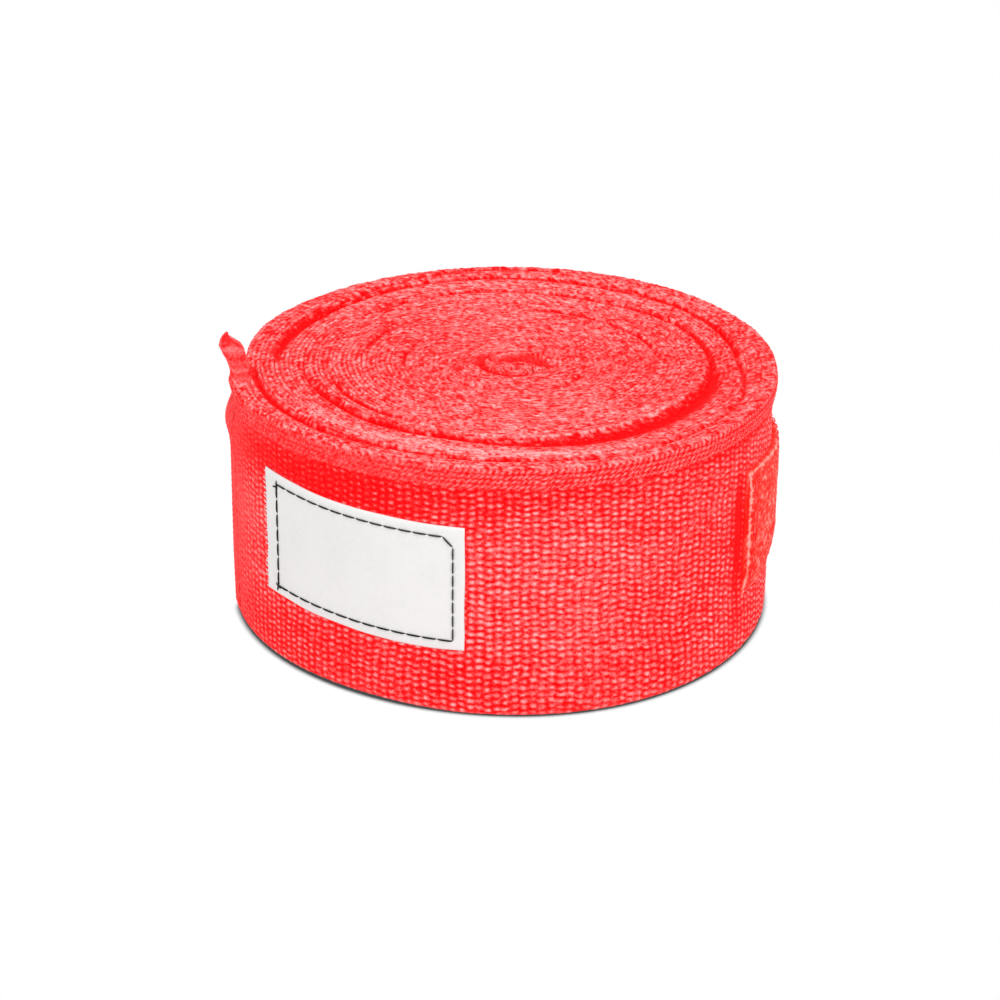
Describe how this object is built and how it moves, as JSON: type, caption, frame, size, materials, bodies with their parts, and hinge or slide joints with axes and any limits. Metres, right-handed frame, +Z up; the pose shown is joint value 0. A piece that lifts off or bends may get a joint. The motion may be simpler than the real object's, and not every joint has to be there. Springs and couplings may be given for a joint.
{
  "type": "hand wrap",
  "caption": "Rolled boxing hand wrap: a woven strip wound flat on its edge, closed by hook and loop patches, with a thumb loop in the core and a bare label.",
  "frame": {"origin": "on the surface the roll stands on, under the middle of its footprint", "axes": "+Z up, along the width of the strip. -Y is the front, where the label is. +X is to the right of the label."},
  "size_m": [0.1096, 0.1042, 0.0561],
  "materials": {
    "red_weave": "matte",
    "red_tape": "matte",
    "red_thread": "matte",
    "loop_pile": "matte",
    "label_cloth": "matte",
    "black_thread": "matte",
    "hook_tape": "matte"
  },
  "bodies": {
    "roll": {"wound_strip": "red_weave", "thumb_loop": "red_tape", "thumb_loop_bar_tack": "red_thread", "loop_patch": "loop_pile", "loop_patch_stitching": "red_thread"},
    "lead": {"strip_lead": "red_weave"},
    "closure": {"closure_end": "red_weave", "end_hem": "red_weave", "end_hem_stitching": "red_thread", "label": "label_cloth", "label_stitching": "black_thread", "hook_patch": "hook_tape", "hook_patch_stitching": "red_thread"}
  },
  "joints": [
    {"name": "lead_peel", "type": "hinge", "parent": "roll", "child": "lead", "pos_m": [0.03698, -0.03698, 0.0255], "axis": [0, 0, 1], "range_deg": [0, 60]},
    {"name": "closure_peel", "type": "hinge", "parent": "lead", "child": "closure", "pos_m": [-0.00293, -0.0527, 0.0255], "axis": [0, 0, 1], "range_deg": [0, 100]}
  ]
}
